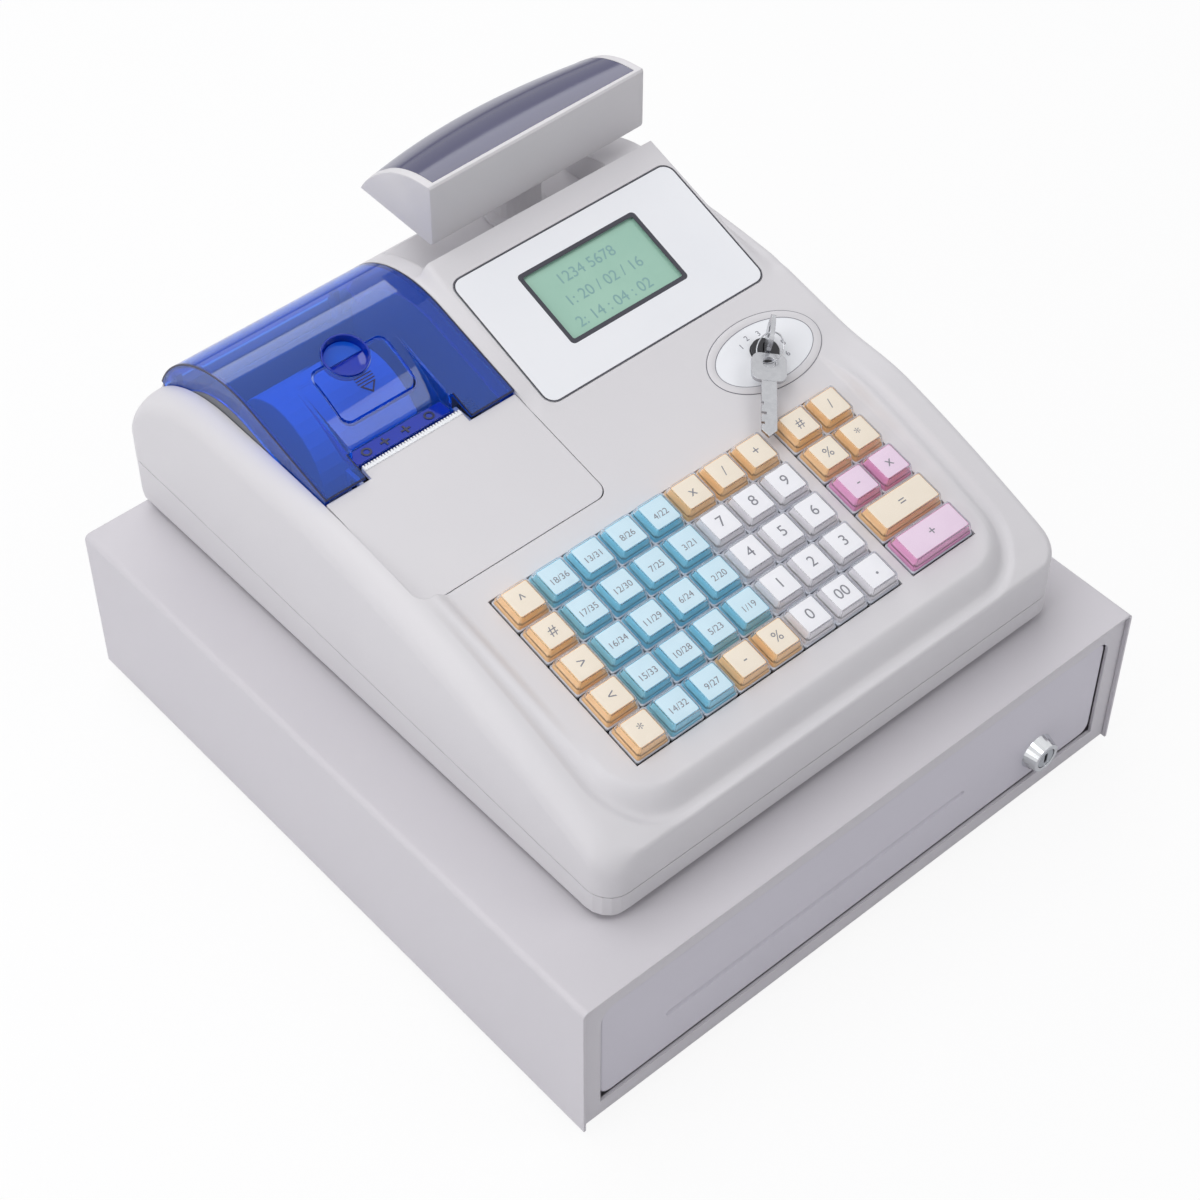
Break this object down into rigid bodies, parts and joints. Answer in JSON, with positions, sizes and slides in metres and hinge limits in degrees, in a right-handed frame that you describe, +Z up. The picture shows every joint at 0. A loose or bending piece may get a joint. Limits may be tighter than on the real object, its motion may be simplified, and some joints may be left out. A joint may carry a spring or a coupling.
{
  "type": "electronic cash register on a cash drawer",
  "caption": "Electronic cash register with receipt printer, keyboard, operator and customer displays and mode switch, standing on a steel cash drawer.",
  "frame": {"origin": "on the floor plane under the middle of the whole machine's box", "axes": "+X to the operator's right, +Y away from the operator, +Z up"},
  "size_m": [0.33, 0.3644, 0.2467],
  "materials": {
    "cabinet_paint": "fine textured warm grey powder coat",
    "drawer_paint": "smooth lilac grey paint",
    "zinc_steel": "zinc plated sheet",
    "spring_steel": "bright spring steel",
    "chrome": "polished",
    "case_plastic": "fine spark texture",
    "black_plastic": "plain moulded",
    "till_plastic": "plain moulded",
    "foot_rubber": "matt",
    "platen_rubber": "ground rubber",
    "blue_clear": "clear cobalt blue, polished",
    "smoked_clear": "dark smoked, polished",
    "white_film": "satin printed film",
    "lcd_glass": "pale green display under glass",
    "paper": "thermal paper",
    "key_white": "white body under a clear cap",
    "key_cream": "cream body under a clear cap",
    "key_pink": "pink body under a clear cap",
    "key_blue": "blue body under a clear cap"
  },
  "bodies": {
    "root": {"cabinet_cover": "cabinet_paint", "cabinet_chassis": "cabinet_paint", "foot_front_left": "foot_rubber", "foot_front_right": "foot_rubber", "foot_rear_left": "foot_rubber", "foot_rear_right": "foot_rubber", "rail_left": "zinc_steel", "rail_right": "zinc_steel", "latch_solenoid": "black_plastic", "eject_spring": "spring_steel", "register_base": "case_plastic", "register_cover": "case_plastic", "key_plate": "key_blue", "printer_panel": "case_plastic", "printer_tub": "black_plastic", "printer_mechanism": "black_plastic", "display_window": "white_film", "lcd_module": "lcd_glass", "pod_mast": "case_plastic", "mode_plate": "white_film"},
    "drawer": {"drawer_front": "drawer_paint", "drawer_tray": "zinc_steel", "drawer_lock_housing": "chrome"},
    "drawer_lock": {"drawer_lock_barrel": "chrome"},
    "till": {"till_insert": "till_plastic"},
    "hook": {"latch_hook": "zinc_steel"},
    "hood": {"printer_hood": "blue_clear"},
    "latch": {"hood_latch": "blue_clear"},
    "platen": {"platen_roller": "platen_rubber"},
    "roll": {"paper_roll": "paper"},
    "customer_display": {"pod_housing": "case_plastic", "pod_window": "smoked_clear"},
    "mode_switch": {"mode_lock_barrel": "black_plastic", "mode_key": "chrome"},
    "spare_keys": {"key_ring": "chrome", "spare_key": "chrome"},
    "clip_1": {"bill_clip_1": "spring_steel"},
    "clip_2": {"bill_clip_2": "spring_steel"},
    "clip_3": {"bill_clip_3": "spring_steel"},
    "clip_4": {"bill_clip_4": "spring_steel"},
    "key_0": {"key_0": "key_white"},
    "key_00": {"key_00": "key_white"},
    "key_point": {"key_point": "key_white"},
    "key_1": {"key_1": "key_white"},
    "key_2": {"key_2": "key_white"},
    "key_3": {"key_3": "key_white"},
    "key_4": {"key_4": "key_white"},
    "key_5": {"key_5": "key_white"},
    "key_6": {"key_6": "key_white"},
    "key_7": {"key_7": "key_white"},
    "key_8": {"key_8": "key_white"},
    "key_9": {"key_9": "key_white"},
    "key_pad_pink_wide": {"key_pad_pink_wide": "key_pink"},
    "key_pad_cream_wide": {"key_pad_cream_wide": "key_cream"},
    "key_pad_pink_left": {"key_pad_pink_left": "key_pink"},
    "key_pad_pink_right": {"key_pad_pink_right": "key_pink"},
    "key_pad_cream_left_1": {"key_pad_cream_left_1": "key_cream"},
    "key_pad_cream_right_1": {"key_pad_cream_right_1": "key_cream"},
    "key_pad_cream_left_2": {"key_pad_cream_left_2": "key_cream"},
    "key_pad_cream_right_2": {"key_pad_cream_right_2": "key_cream"}
  },
  "joints": [
    {"name": "drawer_slide", "type": "slide", "parent": "root", "child": "drawer", "axis": [0, -1, 0], "range_m": [0, 0.235]},
    {"name": "till_lift", "type": "slide", "parent": "drawer", "child": "till", "axis": [0, 0, 1], "range_m": [0, 0.012]},
    {"name": "drawer_lock_turn", "type": "hinge", "parent": "drawer", "child": "drawer_lock", "pos_m": [0.1145, -0.17285, 0.0325], "axis": [0, 1, 0], "range_deg": [0, 90]},
    {"name": "latch_hook_lift", "type": "hinge", "parent": "root", "child": "hook", "pos_m": [0, 0.14995, 0.0338], "axis": [-1, 0, 0], "range_deg": [0, 15], "stiffness_Nm_per_rad": 0.05, "springref_deg": -17.19},
    {"name": "hood_open", "type": "hinge", "parent": "root", "child": "hood", "pos_m": [-0.06625, 0.16253, 0.16886], "axis": [-1, 0, 0], "range_deg": [0, 75]},
    {"name": "latch_press", "type": "slide", "parent": "hood", "child": "latch", "axis": [0, 0.289, -0.9573], "range_m": [0, 0.0015], "stiffness_N_per_m": 300, "springref_m": -0.002},
    {"name": "platen_turn", "type": "hinge", "parent": "root", "child": "platen", "pos_m": [-0.06625, 0.04915, 0.1747], "axis": [1, 0, 0], "continuous": true},
    {"name": "roll_turn", "type": "hinge", "parent": "root", "child": "roll", "pos_m": [-0.06625, 0.10815, 0.1447], "axis": [1, 0, 0], "continuous": true},
    {"name": "display_swivel", "type": "hinge", "parent": "root", "child": "customer_display", "pos_m": [0.06425, 0.13215, 0.2137], "axis": [0, 0, 1], "range_deg": [-90, 90]},
    {"name": "mode_turn", "type": "hinge", "parent": "root", "child": "mode_switch", "pos_m": [0.09525, -0.00475, 0.17435], "axis": [0, -0.2233, 0.9748], "range_deg": [-50, 50]},
    {"name": "spare_key_lift", "type": "hinge", "parent": "mode_switch", "child": "spare_keys", "pos_m": [0.09525, -0.0081, 0.18897], "axis": [-0.6947, 0.7012, 0.1606], "range_deg": [0, 50]},
    {"name": "bill_clip_1_lift", "type": "hinge", "parent": "till", "child": "clip_1", "pos_m": [-0.10905, 0.10975, 0.0559], "axis": [-1, 0, 0], "range_deg": [0, 40], "stiffness_Nm_per_rad": 0.02, "springref_deg": -28.65},
    {"name": "bill_clip_2_lift", "type": "hinge", "parent": "till", "child": "clip_2", "pos_m": [-0.03635, 0.10975, 0.0559], "axis": [-1, 0, 0], "range_deg": [0, 40], "stiffness_Nm_per_rad": 0.02, "springref_deg": -28.65},
    {"name": "bill_clip_3_lift", "type": "hinge", "parent": "till", "child": "clip_3", "pos_m": [0.03635, 0.10975, 0.0559], "axis": [-1, 0, 0], "range_deg": [0, 40], "stiffness_Nm_per_rad": 0.02, "springref_deg": -28.65},
    {"name": "bill_clip_4_lift", "type": "hinge", "parent": "till", "child": "clip_4", "pos_m": [0.10905, 0.10975, 0.0559], "axis": [-1, 0, 0], "range_deg": [0, 40], "stiffness_Nm_per_rad": 0.02, "springref_deg": -28.65},
    {"name": "press_0", "type": "slide", "parent": "root", "child": "key_0", "axis": [0, 0.2233, -0.9748], "range_m": [0, 0.0035], "stiffness_N_per_m": 200, "springref_m": -0.002},
    {"name": "press_00", "type": "slide", "parent": "root", "child": "key_00", "axis": [0, 0.2233, -0.9748], "range_m": [0, 0.0035], "stiffness_N_per_m": 200, "springref_m": -0.002},
    {"name": "press_point", "type": "slide", "parent": "root", "child": "key_point", "axis": [0, 0.2233, -0.9748], "range_m": [0, 0.0035], "stiffness_N_per_m": 200, "springref_m": -0.002},
    {"name": "press_1", "type": "slide", "parent": "root", "child": "key_1", "axis": [0, 0.2233, -0.9748], "range_m": [0, 0.0035], "stiffness_N_per_m": 200, "springref_m": -0.002},
    {"name": "press_2", "type": "slide", "parent": "root", "child": "key_2", "axis": [0, 0.2233, -0.9748], "range_m": [0, 0.0035], "stiffness_N_per_m": 200, "springref_m": -0.002},
    {"name": "press_3", "type": "slide", "parent": "root", "child": "key_3", "axis": [0, 0.2233, -0.9748], "range_m": [0, 0.0035], "stiffness_N_per_m": 200, "springref_m": -0.002},
    {"name": "press_4", "type": "slide", "parent": "root", "child": "key_4", "axis": [0, 0.2233, -0.9748], "range_m": [0, 0.0035], "stiffness_N_per_m": 200, "springref_m": -0.002},
    {"name": "press_5", "type": "slide", "parent": "root", "child": "key_5", "axis": [0, 0.2233, -0.9748], "range_m": [0, 0.0035], "stiffness_N_per_m": 200, "springref_m": -0.002},
    {"name": "press_6", "type": "slide", "parent": "root", "child": "key_6", "axis": [0, 0.2233, -0.9748], "range_m": [0, 0.0035], "stiffness_N_per_m": 200, "springref_m": -0.002},
    {"name": "press_7", "type": "slide", "parent": "root", "child": "key_7", "axis": [0, 0.2233, -0.9748], "range_m": [0, 0.0035], "stiffness_N_per_m": 200, "springref_m": -0.002},
    {"name": "press_8", "type": "slide", "parent": "root", "child": "key_8", "axis": [0, 0.2233, -0.9748], "range_m": [0, 0.0035], "stiffness_N_per_m": 200, "springref_m": -0.002},
    {"name": "press_9", "type": "slide", "parent": "root", "child": "key_9", "axis": [0, 0.2233, -0.9748], "range_m": [0, 0.0035], "stiffness_N_per_m": 200, "springref_m": -0.002},
    {"name": "press_pad_pink_wide", "type": "slide", "parent": "root", "child": "key_pad_pink_wide", "axis": [0, 0.2233, -0.9748], "range_m": [0, 0.0035], "stiffness_N_per_m": 200, "springref_m": -0.002},
    {"name": "press_pad_cream_wide", "type": "slide", "parent": "root", "child": "key_pad_cream_wide", "axis": [0, 0.2233, -0.9748], "range_m": [0, 0.0035], "stiffness_N_per_m": 200, "springref_m": -0.002},
    {"name": "press_pad_pink_left", "type": "slide", "parent": "root", "child": "key_pad_pink_left", "axis": [0, 0.2233, -0.9748], "range_m": [0, 0.0035], "stiffness_N_per_m": 200, "springref_m": -0.002},
    {"name": "press_pad_pink_right", "type": "slide", "parent": "root", "child": "key_pad_pink_right", "axis": [0, 0.2233, -0.9748], "range_m": [0, 0.0035], "stiffness_N_per_m": 200, "springref_m": -0.002},
    {"name": "press_pad_cream_left_1", "type": "slide", "parent": "root", "child": "key_pad_cream_left_1", "axis": [0, 0.2233, -0.9748], "range_m": [0, 0.0035], "stiffness_N_per_m": 200, "springref_m": -0.002},
    {"name": "press_pad_cream_right_1", "type": "slide", "parent": "root", "child": "key_pad_cream_right_1", "axis": [0, 0.2233, -0.9748], "range_m": [0, 0.0035], "stiffness_N_per_m": 200, "springref_m": -0.002},
    {"name": "press_pad_cream_left_2", "type": "slide", "parent": "root", "child": "key_pad_cream_left_2", "axis": [0, 0.2233, -0.9748], "range_m": [0, 0.0035], "stiffness_N_per_m": 200, "springref_m": -0.002},
    {"name": "press_pad_cream_right_2", "type": "slide", "parent": "root", "child": "key_pad_cream_right_2", "axis": [0, 0.2233, -0.9748], "range_m": [0, 0.0035], "stiffness_N_per_m": 200, "springref_m": -0.002}
  ]
}
